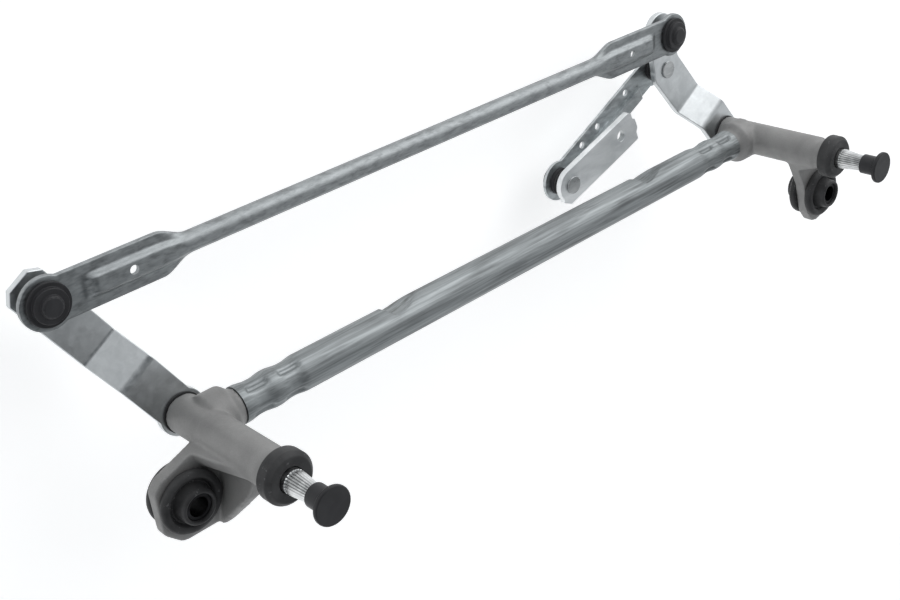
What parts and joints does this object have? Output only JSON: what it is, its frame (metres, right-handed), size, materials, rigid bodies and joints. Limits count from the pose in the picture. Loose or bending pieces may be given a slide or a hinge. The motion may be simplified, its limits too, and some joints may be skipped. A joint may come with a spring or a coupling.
{
  "type": "wiper linkage",
  "caption": "Wiper linkage: crimped tube frame with spindle housings, crank levers joined by a long rod, and a drive link with motor crank.",
  "frame": {"origin": "centre of the left fixing bore, in its grommet's sleeve", "axes": "+Z along the spindles towards the wiper arms, +X from the left spindle to the right one, +Y towards the connecting rod"},
  "size_m": [0.5331, 0.1512, 0.1502],
  "materials": {
    "die_cast": "matt die-cast, as cast",
    "tube_zinc": "dull streaky zinc",
    "rod_zinc": "zinc plated, satin",
    "link_zinc": "zinc plated, satin",
    "crank_zinc": "zinc plated, pale",
    "lever_zinc": "bright zinc plate",
    "stud_steel": "bright steel",
    "shaft_steel": "turned and knurled steel",
    "sleeve_steel": "black oxide",
    "clip_steel": "phosphated spring steel",
    "bush_bronze": "sintered bronze",
    "rubber": "matt black rubber",
    "black_plastic": "satin black plastic"
  },
  "bodies": {
    "frame": {"frame_tube": "tube_zinc", "left_bearing_housing": "die_cast", "left_mount_grommet": "rubber", "left_mount_sleeve": "sleeve_steel", "left_lower_bearing_bush": "bush_bronze", "left_upper_bearing_bush": "bush_bronze", "left_spindle_seal": "rubber", "right_bearing_housing": "die_cast", "right_mount_grommet": "rubber", "right_mount_sleeve": "sleeve_steel", "right_lower_bearing_bush": "bush_bronze", "right_upper_bearing_bush": "bush_bronze", "right_spindle_seal": "rubber"},
    "left_spindle": {"left_spindle_shaft": "shaft_steel", "left_thrust_washer": "rubber", "left_shim_washer": "shaft_steel", "left_retaining_clip": "clip_steel", "left_transit_cap": "black_plastic", "left_crank_lever": "lever_zinc", "left_rod_ball_stud": "stud_steel"},
    "right_spindle": {"drive_ball_stud": "stud_steel", "right_spindle_shaft": "shaft_steel", "right_thrust_washer": "rubber", "right_shim_washer": "shaft_steel", "right_retaining_clip": "clip_steel", "right_transit_cap": "black_plastic", "right_crank_lever": "lever_zinc", "right_rod_ball_stud": "stud_steel"},
    "long_rod": {"connecting_rod": "rod_zinc", "left_rod_socket": "black_plastic", "right_rod_socket": "black_plastic"},
    "short_link": {"drive_link": "link_zinc", "upper_link_socket": "black_plastic", "lower_link_socket": "black_plastic", "upper_link_dust_seal": "rubber", "lower_link_dust_seal": "rubber"},
    "crank": {"motor_crank": "crank_zinc", "motor_crank_ball_stud": "stud_steel"}
  },
  "joints": [
    {"name": "right_spindle_turn", "type": "hinge", "parent": "frame", "child": "right_spindle", "pos_m": [0.456, 0.025, -0.0255], "axis": [0, 0, 1], "range_deg": [-95, 0]},
    {"name": "left_spindle_turn", "type": "hinge", "parent": "frame", "child": "left_spindle", "pos_m": [0.022, 0.025, -0.0255], "axis": [0, 0, 1], "range_deg": [-95.5, 0.5]},
    {"name": "rod_pivot", "type": "hinge", "parent": "right_spindle", "child": "long_rod", "pos_m": [0.40768, 0.10446, -0.03105], "axis": [0, 0, 1], "range_deg": [-0.5, 95.5]},
    {"name": "link_pivot", "type": "hinge", "parent": "right_spindle", "child": "short_link", "pos_m": [0.41341, 0.07869, -0.05235], "axis": [0, 0, 1], "range_deg": [-0.5, 63]},
    {"name": "crank_pivot", "type": "hinge", "parent": "short_link", "child": "crank", "pos_m": [0.31877, 0.03253, -0.05235], "axis": [0, 0, 1], "range_deg": [-137.5, 0.5]}
  ],
  "couplings": [
    {"joint": "left_spindle_turn", "follows": "right_spindle_turn", "ratio": 1},
    {"joint": "rod_pivot", "follows": "right_spindle_turn", "ratio": -1},
    {"joint": "link_pivot", "follows": "right_spindle_turn", "ratio": -0.656},
    {"joint": "crank_pivot", "follows": "right_spindle_turn", "ratio": 1.438}
  ]
}
